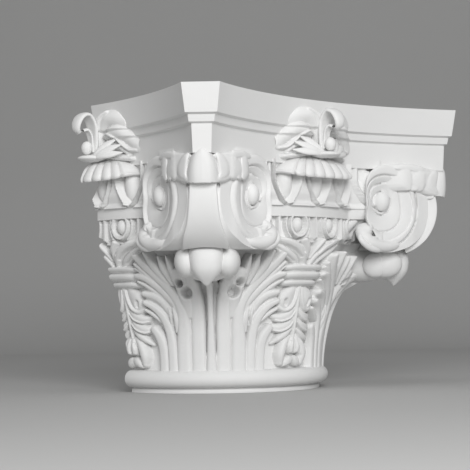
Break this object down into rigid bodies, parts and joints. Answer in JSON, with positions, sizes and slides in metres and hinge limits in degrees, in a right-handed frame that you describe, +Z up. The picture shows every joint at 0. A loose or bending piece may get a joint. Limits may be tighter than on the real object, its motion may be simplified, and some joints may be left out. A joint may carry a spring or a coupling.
{
  "type": "composite half capital",
  "caption": "White composite half capital with volutes, egg-and-dart and acanthus leaves, cut flat at the back to stand on a half column against a wall.",
  "frame": {"origin": "the column's axis at the underside that rests on the shaft", "axes": "+Z up along the column's axis, +X to the right along the wall seen from the front, +Y into the wall; the front face looks along -Y"},
  "size_m": [0.48, 0.252, 0.358],
  "materials": {
    "white_casting": "matt white, smooth as cast"
  },
  "bodies": {
    "root": {"capital": "white_casting"}
  },
  "joints": []
}
